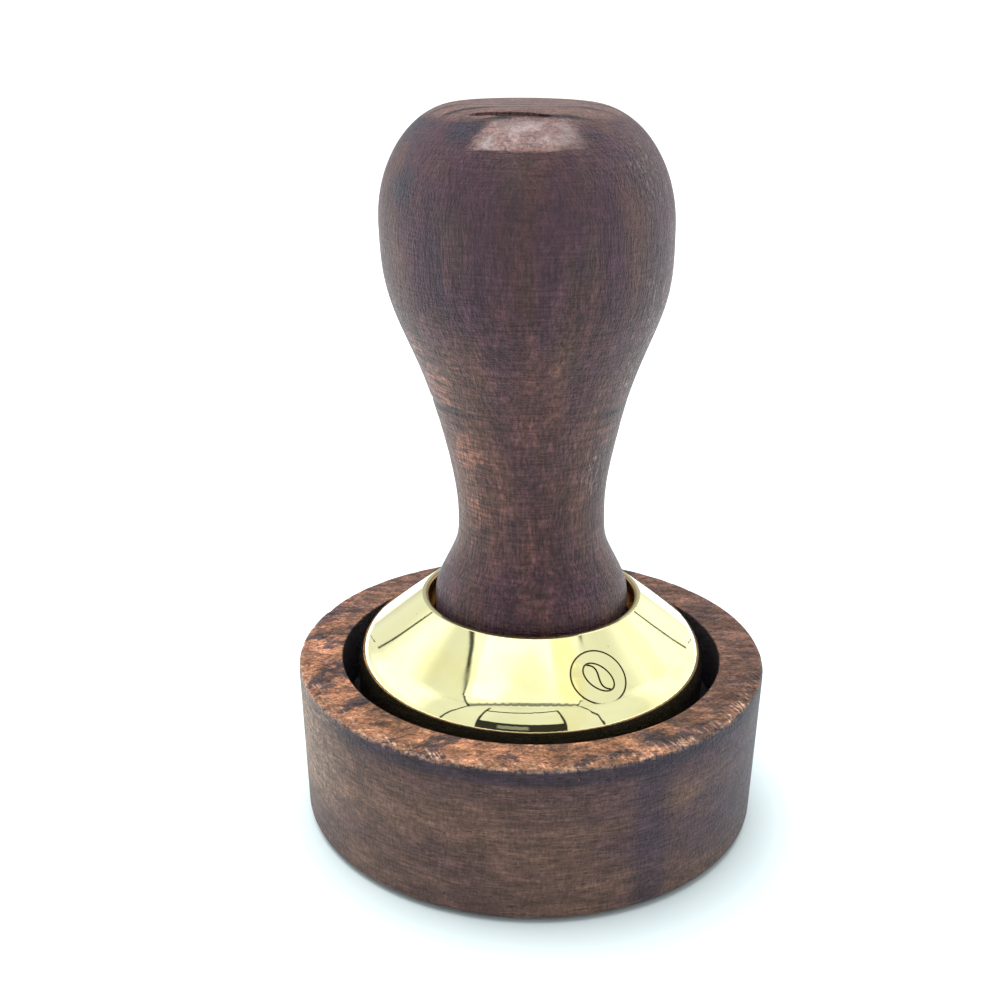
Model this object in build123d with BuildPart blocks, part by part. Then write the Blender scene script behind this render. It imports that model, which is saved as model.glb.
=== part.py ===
"""Espresso tamper standing in its wooden holder.

A turned wooden handle screws onto a solid brass tamping base.  The base sits in
the round recess of a turned wooden stand.  Millimetres, +Z up, origin at the
centre of the face that the stand rests on.
"""

import os
from math import cos, radians, sin, tan

from build123d import *

# --- stand -------------------------------------------------------------------
stand_top_radius = 38.9
stand_bottom_radius = 38.1
stand_height = 27.1
stand_bottom_edge_fillet = 1.0
stand_rim_edge_fillet = 0.45
recess_radius = 31.6
recess_edge_fillet = 0.35
leather_pad_thickness = 2.0
leather_pad_side_gap = 0.4
foot_pad_radius = 33.0
foot_pad_thickness = 1.6
foot_pad_proud = 0.6
foot_pad_side_gap = 0.2

# --- brass tamping base --------------------------------------------------------
base_radius = 29.0
base_seat_z = 18.0
base_bottom_edge_chamfer = 0.3
cone_normal_elevation = 51.3
cone_mouth_radius = 18.1
cone_mouth_z = 37.65
shoulder_fillet = 7.0
lip_fillet = 0.4
socket_radius = 17.05
socket_floor_z = 31.0
socket_floor_fillet = 1.0

# --- emblem engraved in the cone: a coffee bean in a ring ------------------------
emblem_azimuth = 24.5
emblem_centre_z = 33.0
emblem_radius = 4.6
emblem_line_width = 0.28
emblem_depth = 0.2
bean_tilt = 35.0
bean_half_length = 2.9
bean_half_width = 2.0

# --- screw joint between base and handle -----------------------------------------
stud_radius = 4.0
stud_length = 30.0
thread_pitch = 1.25
engaged_turns = 15
stud_end_chamfer = 0.8
stud_slot_width = 1.2
stud_slot_depth = 1.6
tapped_hole_radius = 4.03
tapped_hole_spare_depth = 0.75
drill_point_angle = 118.0
washer_radius = 8.5
washer_thickness = 2.0
washer_bore_radius = 4.15
washer_edge_fillet = 0.3
washer_pocket_gap = 0.2
insert_length = 20.0
insert_core_radius = 5.6
insert_barb_radius = 6.2
insert_barb_count = 7
insert_barb_fill = 0.8
insert_bore_radius = 4.05
insert_mouth_chamfer = 0.6

# --- turned handle ------------------------------------------------------------------
handle_foot_radius = 15.9
handle_foot_z = 32.0
handle_foot_chamfer = 0.7
foot_shoulder_z = 38.0
flare_radius = 15.2
flare_z = 41.0
neck_radius = 12.4
neck_z = 47.0
waist_radius = 11.9
waist_z = 52.0
belly_radius = 22.45
belly_z = 98.5
top_flat_radius = 9.4
handle_top_z = 116.0
stud_clearance_radius = 4.6
stud_clearance_top_z = 57.0

# --- heights that follow from the sizes above ---------------------------------------
recess_floor_z = base_seat_z - leather_pad_thickness
insert_bottom_z = socket_floor_z + washer_thickness
insert_top_z = insert_bottom_z + insert_length
stud_top_z = insert_bottom_z + engaged_turns * thread_pitch
stud_bottom_z = stud_top_z - stud_length
tapped_hole_bottom_z = stud_bottom_z - tapped_hole_spare_depth
cone_slope = tan(radians(90 - cone_normal_elevation))
shoulder_corner_z = cone_mouth_z - (base_radius - cone_mouth_radius) * cone_slope

os.makedirs("parts", exist_ok=True)


def write(piece, name):
    """Label a finished piece and write it as its own STEP file."""
    piece.part.label = name
    export_step(piece.part, f"parts/{name}.step")


def cone_radius(z):
    """Radius of the brass cone at height z."""
    return cone_mouth_radius + (cone_mouth_z - z) / cone_slope


# --- stand body: one turned block, open recess above, shallow pocket below ----------
foot_pocket_radius = foot_pad_radius + foot_pad_side_gap

with BuildPart() as stand_body:
    with BuildSketch(Plane.XZ):
        with BuildLine():
            Polyline(
                (0, foot_pad_thickness),
                (foot_pocket_radius, foot_pad_thickness),
                (foot_pocket_radius, foot_pad_proud),
                (stand_bottom_radius, foot_pad_proud),
                (stand_top_radius, stand_height),
                (recess_radius, stand_height),
                (recess_radius, recess_floor_z),
                (0, recess_floor_z),
                close=True,
            )
        make_face()
    revolve(axis=Axis.Z)
    levels = stand_body.edges().filter_by(GeomType.CIRCLE).group_by(Axis.Z)
    foot_edges = levels[0].sort_by(SortBy.RADIUS)
    rim_edges = levels[-1].sort_by(SortBy.RADIUS)
    fillet(foot_edges[-1], radius=stand_bottom_edge_fillet)
    fillet(rim_edges[-1], radius=stand_rim_edge_fillet)
    fillet(rim_edges[0], radius=recess_edge_fillet)

# --- leather pad glued to the recess floor: the polished base rests on it -----------
with BuildPart() as leather_pad:
    with BuildSketch(Plane.XY.offset(recess_floor_z)):
        Circle(recess_radius - leather_pad_side_gap)
    extrude(amount=leather_pad_thickness)

# --- rubber foot pad let into the underside -----------------------------------------
with BuildPart() as foot_pad:
    with BuildSketch(Plane.XY):
        Circle(foot_pad_radius)
    extrude(amount=foot_pad_thickness)
    fillet(foot_pad.edges().group_by(Axis.Z)[0], radius=foot_pad_proud / 2)

# --- emblem cutter: the drawing as prisms that stop at one depth below the cone -----
emblem_direction = radians(emblem_azimuth)
emblem_normal = radians(cone_normal_elevation)
emblem_plane = Plane(
    origin=(
        cone_radius(emblem_centre_z) * sin(emblem_direction),
        -cone_radius(emblem_centre_z) * cos(emblem_direction),
        emblem_centre_z,
    ),
    x_dir=(cos(emblem_direction), sin(emblem_direction), 0),
    z_dir=(
        sin(emblem_direction) * cos(emblem_normal),
        -cos(emblem_direction) * cos(emblem_normal),
        sin(emblem_normal),
    ),
)
engraving_drop = emblem_depth / sin(emblem_normal)

with BuildPart() as cone_under_engraving:
    with BuildSketch(Plane.XZ):
        with BuildLine():
            Polyline(
                (0, base_seat_z - engraving_drop),
                (cone_radius(base_seat_z), base_seat_z - engraving_drop),
                (cone_mouth_radius, cone_mouth_z - engraving_drop),
                (0, cone_mouth_z - engraving_drop),
                close=True,
            )
        make_face()
    revolve(axis=Axis.Z)

with BuildPart() as emblem_cutter:
    with BuildSketch(emblem_plane):
        Circle(emblem_radius)
        Circle(emblem_radius - emblem_line_width, mode=Mode.SUBTRACT)
        Ellipse(bean_half_width, bean_half_length, rotation=bean_tilt)
        Ellipse(
            bean_half_width - emblem_line_width,
            bean_half_length - emblem_line_width,
            rotation=bean_tilt,
            mode=Mode.SUBTRACT,
        )
    with BuildSketch(emblem_plane.rotated((0, 0, bean_tilt))):
        with BuildLine():
            Spline(
                (0, emblem_line_width - bean_half_length),
                (-bean_half_width / 4, -bean_half_length / 3),
                (bean_half_width / 4, bean_half_length / 3),
                (0, bean_half_length - emblem_line_width),
            )
        trace(line_width=emblem_line_width)
    extrude(amount=emblem_radius / 4, both=True)
    add(cone_under_engraving.part, mode=Mode.SUBTRACT)

# --- brass tamping base ---------------------------------------------------------------
drill_point_height = tapped_hole_radius / tan(radians(drill_point_angle / 2))

with BuildPart() as tamper_base:
    with BuildSketch(Plane.XZ):
        with BuildLine():
            Polyline(
                (0, base_seat_z),
                (base_radius, base_seat_z),
                (base_radius, shoulder_corner_z),
                (cone_mouth_radius, cone_mouth_z),
                (socket_radius, cone_mouth_z),
                (socket_radius, socket_floor_z),
                (0, socket_floor_z),
                close=True,
            )
        make_face()
    revolve(axis=Axis.Z)
    levels = tamper_base.edges().filter_by(GeomType.CIRCLE).group_by(Axis.Z)
    bottom_edge, shoulder_edge, socket_floor_edge, lip_edges = levels
    chamfer(bottom_edge, length=base_bottom_edge_chamfer)
    fillet(shoulder_edge, radius=shoulder_fillet)
    fillet(socket_floor_edge, radius=socket_floor_fillet)
    fillet(lip_edges, radius=lip_fillet)
    with BuildSketch(Plane.XZ):
        with BuildLine():
            Polyline(
                (0, tapped_hole_bottom_z - drill_point_height),
                (tapped_hole_radius, tapped_hole_bottom_z),
                (tapped_hole_radius, socket_floor_z),
                (0, socket_floor_z),
                close=True,
            )
        make_face()
    revolve(axis=Axis.Z, mode=Mode.SUBTRACT)
    add(emblem_cutter.part, mode=Mode.SUBTRACT)

# --- steel stud: lower half in the base, upper half in the handle's insert ------------
with BuildPart() as base_stud:
    with BuildSketch(Plane.XY.offset(stud_bottom_z)):
        Circle(stud_radius)
    extrude(amount=stud_top_z - stud_bottom_z)
    chamfer(base_stud.edges().filter_by(GeomType.CIRCLE), length=stud_end_chamfer)
    with BuildSketch(Plane.XY.offset(stud_top_z)):
        Rectangle(stud_slot_width, 4 * stud_radius)
    extrude(amount=-stud_slot_depth, mode=Mode.SUBTRACT)

# --- rubber washer between the socket floor and the handle's foot ---------------------
with BuildPart() as foot_washer:
    with BuildSketch(Plane.XY.offset(socket_floor_z)):
        Circle(washer_radius)
        Circle(washer_bore_radius, mode=Mode.SUBTRACT)
    extrude(amount=washer_thickness)
    fillet(foot_washer.edges().filter_by(GeomType.CIRCLE), radius=washer_edge_fillet)

# --- brass insert pressed into the handle; its saw-tooth barbs bite the wood ----------
barb_pitch = insert_length / insert_barb_count
barb_profile = []
for index in range(insert_barb_count):
    barb_z = insert_bottom_z + barb_pitch * (index + (1 - insert_barb_fill) / 2)
    barb_profile.append((insert_core_radius, barb_z))
    barb_profile.append((insert_barb_radius, barb_z))
    barb_profile.append((insert_core_radius, barb_z + barb_pitch * insert_barb_fill))

with BuildPart() as insert_blank:
    with BuildSketch(Plane.XZ):
        with BuildLine():
            Polyline(
                (0, insert_bottom_z),
                (insert_core_radius, insert_bottom_z),
                *barb_profile,
                (insert_core_radius, insert_top_z),
                (0, insert_top_z),
                close=True,
            )
        make_face()
    revolve(axis=Axis.Z)

with BuildPart() as handle_insert:
    add(insert_blank.part)
    with BuildSketch(Plane.XY.offset(insert_bottom_z)):
        Circle(insert_bore_radius)
    extrude(amount=insert_length, mode=Mode.SUBTRACT)
    bore_mouths = handle_insert.edges().filter_by(GeomType.CIRCLE).group_by(SortBy.RADIUS)[0]
    chamfer(bore_mouths, length=insert_mouth_chamfer)

# --- turned handle: foot, waist, round belly and a small flat on top ------------------
belly_rise_r = belly_radius - waist_radius
belly_rise_z = belly_z - waist_z

with BuildPart() as handle:
    with BuildSketch(Plane.XZ):
        with BuildLine():
            Polyline(
                (0, handle_top_z),
                (0, handle_foot_z),
                (handle_foot_radius - handle_foot_chamfer, handle_foot_z),
                (handle_foot_radius, handle_foot_z + handle_foot_chamfer),
                (handle_foot_radius, foot_shoulder_z),
            )
            Spline(
                (handle_foot_radius, foot_shoulder_z),
                (flare_radius, flare_z),
                (neck_radius, neck_z),
                (waist_radius, waist_z),
                tangents=((0, 1), (0, 1)),
            )
            Spline(
                (waist_radius, waist_z),
                (waist_radius + 0.15 * belly_rise_r, waist_z + 0.25 * belly_rise_z),
                (waist_radius + 0.50 * belly_rise_r, waist_z + 0.53 * belly_rise_z),
                (waist_radius + 0.82 * belly_rise_r, waist_z + 0.71 * belly_rise_z),
                (belly_radius, belly_z),
                tangents=((0, 1), (0, 1)),
            )
            EllipticalCenterArc(
                (top_flat_radius, belly_z),
                belly_radius - top_flat_radius,
                handle_top_z - belly_z,
                start_angle=0,
                arc_size=90,
            )
            Line((top_flat_radius, handle_top_z), (0, handle_top_z))
        make_face()
    revolve(axis=Axis.Z)
    with BuildSketch(Plane.XY.offset(handle_foot_z)):
        Circle(washer_radius + washer_pocket_gap)
    extrude(amount=insert_bottom_z - handle_foot_z, mode=Mode.SUBTRACT)
    add(insert_blank.part, mode=Mode.SUBTRACT)
    with BuildSketch(Plane.XY.offset(insert_top_z)):
        Circle(stud_clearance_radius)
    extrude(amount=stud_clearance_top_z - insert_top_z, mode=Mode.SUBTRACT)

write(stand_body, "stand_body")
write(leather_pad, "leather_pad")
write(foot_pad, "foot_pad")
write(tamper_base, "tamper_base")
write(base_stud, "base_stud")
write(foot_washer, "foot_washer")
write(handle_insert, "handle_insert")
write(handle, "handle")
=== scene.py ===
# %% [markdown]
# # An espresso tamper in its wooden stand
# The tamper is a stained wooden handle screwed onto a solid, mirror-polished
# brass base, and it stands in the recess of a turned wooden block.  The packed
# CAD model is the frame: it holds every size, and this lesson adds the looks.
# All lengths in Blender are metres, and MM turns the maker's millimetres into them.

# %% Load the frame
from math import cos, degrees, exp, hypot, pi, radians, sin, tan

import bpy
import numpy as np
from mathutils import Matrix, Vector, noise


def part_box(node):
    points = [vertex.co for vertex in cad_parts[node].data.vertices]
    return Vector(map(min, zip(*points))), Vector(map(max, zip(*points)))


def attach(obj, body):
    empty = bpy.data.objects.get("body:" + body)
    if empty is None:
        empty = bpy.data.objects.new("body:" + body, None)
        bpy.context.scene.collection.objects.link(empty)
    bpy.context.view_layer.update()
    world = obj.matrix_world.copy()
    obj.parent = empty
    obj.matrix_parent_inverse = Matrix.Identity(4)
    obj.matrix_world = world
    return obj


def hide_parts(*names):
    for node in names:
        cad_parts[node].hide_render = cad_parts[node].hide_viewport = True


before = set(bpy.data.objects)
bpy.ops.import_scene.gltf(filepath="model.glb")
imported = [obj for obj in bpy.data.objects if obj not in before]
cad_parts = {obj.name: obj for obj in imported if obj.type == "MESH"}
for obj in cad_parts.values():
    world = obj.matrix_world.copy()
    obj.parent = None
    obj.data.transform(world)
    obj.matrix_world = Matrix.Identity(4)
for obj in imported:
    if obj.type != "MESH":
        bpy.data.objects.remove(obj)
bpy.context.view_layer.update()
MM = 0.001
print("CAD nodes:", sorted(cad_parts))

# %% [markdown]
# ## The camera
# A product picture of a hand-sized object is taken from about 25 cm away with a
# normal lens, a little above it, so that the brass cone shows inside the rim.
# The camera comes first, because every later choice is judged through it.

# %% Place the camera
EYE_MM = (-5.7, -205.9, 130.3)
EYE_TILT_DOWN = 20.4
EYE_ROLL = -0.3
LENS_MM = 48.6

bpy.ops.object.camera_add(
    location=[value * MM for value in EYE_MM],
    rotation=(radians(90 - EYE_TILT_DOWN), radians(EYE_ROLL), 0),
)
camera = bpy.context.object
camera.data.lens = LENS_MM
camera.data.clip_start = 10 * MM
bpy.context.scene.camera = camera
print("camera stands", round(Vector(EYE_MM).length), "mm from the stand's foot")

# %% [markdown]
# ## Turning on a lathe
# Handle, stand, washer and pads are all turned shapes: one outline, spun round
# the Z axis.  The outline is drawn the way a turner marks a template, corner by
# corner, and each corner may be rounded.  Long runs get extra points, so that
# the surface can be worn and dented later.

# %% Outline and lathe helpers
def rounded_outline(corners, step):
    """Points of an outline.  corners: (radius, height, rounding); step: widest gap; all in mm."""
    points = [Vector(corners[0][:2])]
    for before, here, after in zip(corners, corners[1:], corners[2:]):
        corner = Vector(here[:2])
        rounding = here[2]
        back = (Vector(before[:2]) - corner).normalized()
        ahead = (Vector(after[:2]) - corner).normalized()
        if rounding == 0:
            points.append(corner)
            continue
        half_angle = back.angle(ahead) / 2
        middle = corner + (back + ahead).normalized() * rounding / sin(half_angle)
        start = corner + back * rounding / tan(half_angle) - middle
        sweep = start.angle_signed(corner + ahead * rounding / tan(half_angle) - middle)
        arc_steps = max(3, round(abs(sweep) * rounding / min(step, rounding / 3)))
        for index in range(arc_steps + 1):
            turn = -sweep * index / arc_steps
            swung = Vector(
                (
                    start.x * cos(turn) - start.y * sin(turn),
                    start.x * sin(turn) + start.y * cos(turn),
                )
            )
            points.append(middle + swung)
    points.append(Vector(corners[-1][:2]))
    filled = [points[0]]
    for point in points[1:]:
        gap = (point - filled[-1]).length
        cuts = max(1, int(gap / step + 0.5))
        origin = filled[-1]
        for index in range(1, cuts + 1):
            filled.append(origin.lerp(point, index / cuts))
    return filled


def lathe(name, outline, segments):
    """Spin an outline of (radius, height) points in mm round the Z axis into a closed piece."""
    bpy.ops.object.select_all(action="DESELECT")
    bpy.ops.mesh.primitive_plane_add(size=MM)
    piece = bpy.context.object
    piece.name = name
    bpy.ops.object.mode_set(mode="EDIT")
    bpy.ops.mesh.merge(type="CENTER")
    here = Vector((0, 0))
    for index, point in enumerate(outline):
        stride = ((point[0] - here[0]) * MM, 0, (point[1] - here[1]) * MM)
        here = point
        if index == 0:
            bpy.ops.transform.translate(value=stride)
        else:
            bpy.ops.mesh.extrude_vertices_move(TRANSFORM_OT_translate={"value": stride})
    bpy.ops.mesh.select_all(action="SELECT")
    bpy.ops.mesh.spin(steps=segments, angle=2 * pi, center=(0, 0, 0), axis=(0, 0, 1))
    bpy.ops.mesh.select_all(action="SELECT")
    bpy.ops.mesh.remove_doubles(threshold=0.002 * MM)
    bpy.ops.mesh.normals_make_consistent(inside=False)
    bpy.ops.object.mode_set(mode="OBJECT")
    bpy.ops.object.shade_smooth_by_angle(angle=radians(40))
    print(name, "turned:", len(piece.data.vertices), "vertices")
    return piece


def work_over(piece, touch):
    """Move each vertex of a piece as touch(x, y, z) says, in mm, like wear or a sanding block."""
    coordinates = np.empty(len(piece.data.vertices) * 3, np.float32)
    piece.data.vertices.foreach_get("co", coordinates)
    points = coordinates.reshape(-1, 3) / MM
    moved = np.array([touch(*point) for point in points.tolist()], np.float32)
    piece.data.vertices.foreach_set("co", (moved * MM).ravel())
    piece.data.update()


def wobble(x, y, z, size, seed=0.0):
    """Smooth noise between about -1 and 1 whose features are `size` mm wide."""
    return noise.noise(Vector((x / size + seed, y / size - seed, z / size + 2 * seed)))


def ease(value, low, high):
    """0 below low, 1 above high, and a smooth slope between."""
    share = min(max((value - low) / (high - low), 0.0), 1.0)
    return share * share * (3 - 2 * share)


# %% [markdown]
# ## The handle
# The real handle is turned from one blank, sanded and stained.  Its outline is
# read from the frame: wherever the CAD mesh crosses a height, the outermost
# crossing is the outline.  Evenly spaced points along it make even faces, which
# take the turner's marks and the dents better than a CAD mesh does.

# %% Read the handle's outline from the frame
def outline_reader(node):
    """A function that gives a turned CAD piece's outer radius at a height, in mm."""
    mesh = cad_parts[node].data
    points = np.empty(len(mesh.vertices) * 3)
    mesh.vertices.foreach_get("co", points)
    points = points.reshape(-1, 3) / MM
    ends = np.empty(len(mesh.edges) * 2, np.int32)
    mesh.edges.foreach_get("vertices", ends)
    lower, upper = points[ends.reshape(-1, 2)].transpose(1, 0, 2)

    def radius_at(height):
        crossing = (lower[:, 2] - height) * (upper[:, 2] - height) < 0
        low, high = lower[crossing], upper[crossing]
        share = ((height - low[:, 2]) / (high[:, 2] - low[:, 2]))[:, None]
        met = low + (high - low) * share
        return float(np.hypot(met[:, 0], met[:, 1]).max())

    return radius_at


HEIGHT_SAMPLES = 1600
FINE_STEP = 0.05
SMOOTHING_MM = 1.5
HANDLE_POINT_GAP = 0.45

handle_low, handle_high = (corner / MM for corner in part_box("handle"))
handle_radius = outline_reader("handle")
rise = np.linspace(0, 1, HEIGHT_SAMPLES)
heights = handle_low.z + (handle_high.z - handle_low.z) * (1 - (1 - rise) ** 2)
heights = np.clip(heights, handle_low.z + 0.02, handle_high.z - 0.003)
radii = np.array([handle_radius(height) for height in heights])
along = np.concatenate([[0], np.cumsum(np.hypot(np.diff(radii), np.diff(heights)))])
even = np.arange(0, along[-1], FINE_STEP)
window = np.ones(round(SMOOTHING_MM / FINE_STEP)) / round(SMOOTHING_MM / FINE_STEP)
edge = len(window) // 2
smooth_radii, smooth_heights = (
    np.convolve(np.pad(np.interp(even, along, values), edge, mode="edge"), window, "same")[edge:-edge]
    for values in (radii, heights)
)
keep = slice(None, None, round(HANDLE_POINT_GAP / FINE_STEP))
handle_side = list(zip(smooth_radii[keep], smooth_heights[keep]))
print("handle outline:", len(handle_side), "points, widest radius", round(max(smooth_radii), 2))

# %% Turn the handle
HANDLE_SEGMENTS = 224
TOP_RINGS = 22
INSERT_HOLE_DEPTH = 6
POCKET_CHAMFER = 0.3

pocket_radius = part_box("foot_washer")[1].x / MM + 0.2
pocket_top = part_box("handle_insert")[0].z / MM
hole_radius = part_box("handle_insert")[1].x / MM
hole_top = pocket_top + INSERT_HOLE_DEPTH
top_flat = [
    (handle_side[-1][0] * share, handle_high.z - 0.02 * share)
    for share in np.linspace(0.96, 0, TOP_RINGS)
]
foot = [(0, hole_top), (hole_radius, hole_top), (hole_radius, pocket_top), (pocket_radius, pocket_top)]
foot += [(pocket_radius, handle_low.z + POCKET_CHAMFER), (pocket_radius + POCKET_CHAMFER, handle_low.z)]
foot += [(handle_side[0][0] - 0.6, handle_low.z)]
handle = lathe("turned_handle", foot + handle_side + top_flat, HANDLE_SEGMENTS)

# %% Leave the turner's marks
LEAN_START = 42.0
LEAN = 0.026
NECK_GROOVE = 71.6
TOOL_RINGS = ((NECK_GROOVE, 0.16, 0.45), (62.3, 0.06, 0.5), (57.4, 0.05, 0.4))


def turners_marks(x, y, z):
    """A blank is never perfectly round, the gouge leaves rings, and the insert sits a hair askew."""
    radius = hypot(x, y)
    if z < handle_low.z + 1 or (z < LEAN_START and radius < pocket_radius + 1):
        return x, y, z
    free = ease(z, handle_low.z + 7, handle_low.z + 16)
    shift = free * 0.16 * wobble(x, y, z, 26, 3.0) + free * 0.05 * wobble(x, y, z, 7, 9.0)
    for ring_height, depth, width in TOOL_RINGS:
        drift = ring_height + 0.5 * wobble(x, y, 0, 22, ring_height)
        fade = ease(wobble(x, y, ring_height, 16, 5.0), -0.25, 0.35)
        shift -= depth * fade * exp(-(((z - drift) / width) ** 2))
    side = ease(radius, 2.0, 9.0)
    scale = 1 + side * shift / radius
    lean = LEAN * max(0.0, z - LEAN_START)
    return x * scale - lean, y * scale, z + (1 - side) * shift * 0.3


work_over(handle, turners_marks)
print("the handle's top leans", round(LEAN * (handle_high.z - LEAN_START), 1), "mm off its foot")

# %% [markdown]
# The end grain on top has opened in one short drying crack.  A crack is a thin
# wedge of missing wood, so it is cut with a boolean: a sphere squeezed to a
# sliver is laid across the front of the top, roughened a little, and taken away.

# %% Cut the drying crack
CRACK_AT = (-4.3, -12.6, 115.0)
CRACK_SIZE = (6.2, 0.62, 1.5)


def crack_shape(x, y, z):
    """A unit ball squeezed to the crack's size, curved with the top's edge and made ragged."""
    ragged = 0.35 * wobble(x * 6, 0, 0, 2.2, 1.0)
    return (
        CRACK_AT[0] + x * CRACK_SIZE[0],
        CRACK_AT[1] + y * CRACK_SIZE[1] + ragged + 0.5 * x * x - 1.1 * x,
        CRACK_AT[2] + z * CRACK_SIZE[2] - 0.45 * x,
    )


bpy.ops.object.select_all(action="DESELECT")
bpy.ops.mesh.primitive_uv_sphere_add(segments=48, ring_count=24, radius=MM)
sliver = bpy.context.object
work_over(sliver, crack_shape)
cut = handle.modifiers.new("crack", "BOOLEAN")
cut.operation = "DIFFERENCE"
cut.object = sliver
bpy.context.view_layer.objects.active = handle
bpy.ops.object.modifier_apply(modifier=cut.name)
bpy.data.objects.remove(sliver)
bpy.ops.object.select_all(action="DESELECT")
handle.select_set(True)
bpy.ops.object.shade_smooth_by_angle(angle=radians(40))
print("handle with its crack:", len(handle.data.polygons), "faces")

# %% [markdown]
# ## The stand
# The stand is a thick disc with a flat-bottomed recess.  Its outer wall leans
# out by less than a millimetre.  Years on a bar have softened the rim: the
# outer edge is chipped and rubbed, most of all at the front.

# %% Turn the stand
STAND_SEGMENTS = 380
STAND_POINT_GAP = 0.7
WALL_LEAN = 0.78

stand_low, stand_high = (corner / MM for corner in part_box("stand_body"))
pad_low, pad_high = (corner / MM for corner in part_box("leather_pad"))
foot_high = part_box("foot_pad")[1] / MM
recess_radius = pad_high.x + 0.4
foot_pocket_radius = foot_high.x + 0.2
stand_foot_radius = stand_high.x - WALL_LEAN

stand = lathe(
    "turned_stand",
    rounded_outline(
        [
            (0, pad_low.z, 0),
            (recess_radius, pad_low.z, 0.3),
            (recess_radius, stand_high.z, 0.35),
            (stand_high.x, stand_high.z, 0.5),
            (stand_foot_radius, stand_low.z, 1.0),
            (foot_pocket_radius, stand_low.z, 0.2),
            (foot_pocket_radius, foot_high.z, 0),
            (0, foot_high.z, 0),
        ],
        STAND_POINT_GAP,
    ),
    STAND_SEGMENTS,
)

# %% Wear its rim
def rim_wear(x, y, z):
    """Chips and rubbing along the rim's outer edge, and a wall that is a hair out of round."""
    radius = hypot(x, y)
    if radius < recess_radius + 1.0:
        return x, y, z
    off_round = 0.05 * wobble(x, y, z * 0.5, 18, 2.0)
    edge_distance = hypot(stand_high.x - radius, stand_high.z - z)
    near_edge = 1 - ease(edge_distance, 0.1, 1.5)
    rubbed = 0.5 + 0.5 * wobble(x, y, 0, 15, 4.0)
    chipped = max(0.0, wobble(x, y, 0, 2.3, 7.0) - 0.12)
    loss = near_edge * (0.12 * rubbed + 0.26 * chipped)
    scale = (radius + off_round - loss) / radius
    return x * scale, y * scale, z - loss


work_over(stand, rim_wear)
print("the rim is", round(stand_high.x - recess_radius, 1), "mm wide")

# %% [markdown]
# ## The pads
# The polished base would mark bare wood, so a disc of black leather lies in the
# recess, pressed down a little where the base has stood.  Under the stand a
# rubber disc with rings keeps it from sliding.  Both are turned shapes too.

# %% Turn the leather pad
PAD_SEGMENTS = 200
DENT = 0.12
SCUFF_DEPTH = 0.06

base_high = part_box("tamper_base")[1] / MM
leather_disc = lathe(
    "leather_disc",
    rounded_outline(
        [
            (0, pad_low.z, 0),
            (pad_high.x, pad_low.z, 0.2),
            (pad_high.x, pad_high.z, 0.6),
            (base_high.x + 0.5, pad_high.z, 0.2),
            (base_high.x, pad_high.z - DENT, 0.2),
            (0, pad_high.z - DENT, 0),
        ],
        0.8,
    ),
    PAD_SEGMENTS,
)


def scuffed_top(x, y, z):
    """Shallow scuffs on the leather's upper face only."""
    scuff = SCUFF_DEPTH * abs(wobble(x, y, 0, 2.6, 6.0)) if z > pad_high.z - 0.2 else 0
    return x, y, z - scuff


work_over(leather_disc, scuffed_top)

# %% Turn the rubber foot
FOOT_SEGMENTS = 180
GROOVE_PITCH = 3.0
GROOVE_DEPTH = 0.35
GROOVE_MOUTH = 0.9
GROOVE_FLOOR = 0.6

foot_corners = [(0, foot_high.z, 0), (foot_high.x, foot_high.z, 0), (foot_high.x, 0, 0.3)]
ring = foot_high.x - GROOVE_PITCH
while ring > GROOVE_PITCH:
    foot_corners += [(ring + GROOVE_MOUTH, 0, 0.1), (ring + GROOVE_FLOOR, GROOVE_DEPTH, 0.1)]
    foot_corners += [(ring - GROOVE_FLOOR, GROOVE_DEPTH, 0.1), (ring - GROOVE_MOUTH, 0, 0.1)]
    ring -= GROOVE_PITCH
foot_outline = rounded_outline(foot_corners + [(0, 0, 0)], 1.5)
rubber_foot = lathe("ringed_rubber_foot", foot_outline, FOOT_SEGMENTS)

# %% [markdown]
# ## The washer and the stud
# A black rubber washer cushions the handle's foot.  It is a hair thinner than
# its place, so that it never cuts into its neighbours.  The stud is a steel screw
# with a real thread: one tooth is drawn once, and the Screw modifier winds it
# upwards by one pitch a turn.  Its ends are trimmed flat with a bisect.

# %% Turn the washer
WASHER_SEGMENTS = 120
SQUEEZE = 0.04
EDGE_ROUNDING = 0.3

washer_low, washer_high = (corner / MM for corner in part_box("foot_washer"))
stud_low, stud_high = (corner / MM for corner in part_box("base_stud"))
washer_bore = stud_high.x + 0.15
half_way = (washer_low.z + washer_high.z) / 2
washer = lathe(
    "rubber_washer",
    rounded_outline(
        [
            (washer_bore, half_way, 0),
            (washer_bore, washer_low.z + SQUEEZE, EDGE_ROUNDING),
            (washer_high.x, washer_low.z + SQUEEZE, EDGE_ROUNDING),
            (washer_high.x, washer_high.z - SQUEEZE, EDGE_ROUNDING),
            (washer_bore, washer_high.z - SQUEEZE, EDGE_ROUNDING),
            (washer_bore, half_way, 0),
        ],
        0.5,
    ),
    WASHER_SEGMENTS,
)

# %% Draw one tooth of the thread
THREAD_PITCH = 1.25
THREAD_DEPTH = 0.767
CREST_CHAMFER = 0.06
THREAD_STEPS = 40

crest_radius = stud_high.x - 0.02
root_radius = crest_radius - THREAD_DEPTH
chamfer_radius = crest_radius - CREST_CHAMFER
turns = int((stud_high.z - stud_low.z) / THREAD_PITCH) + 4

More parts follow.
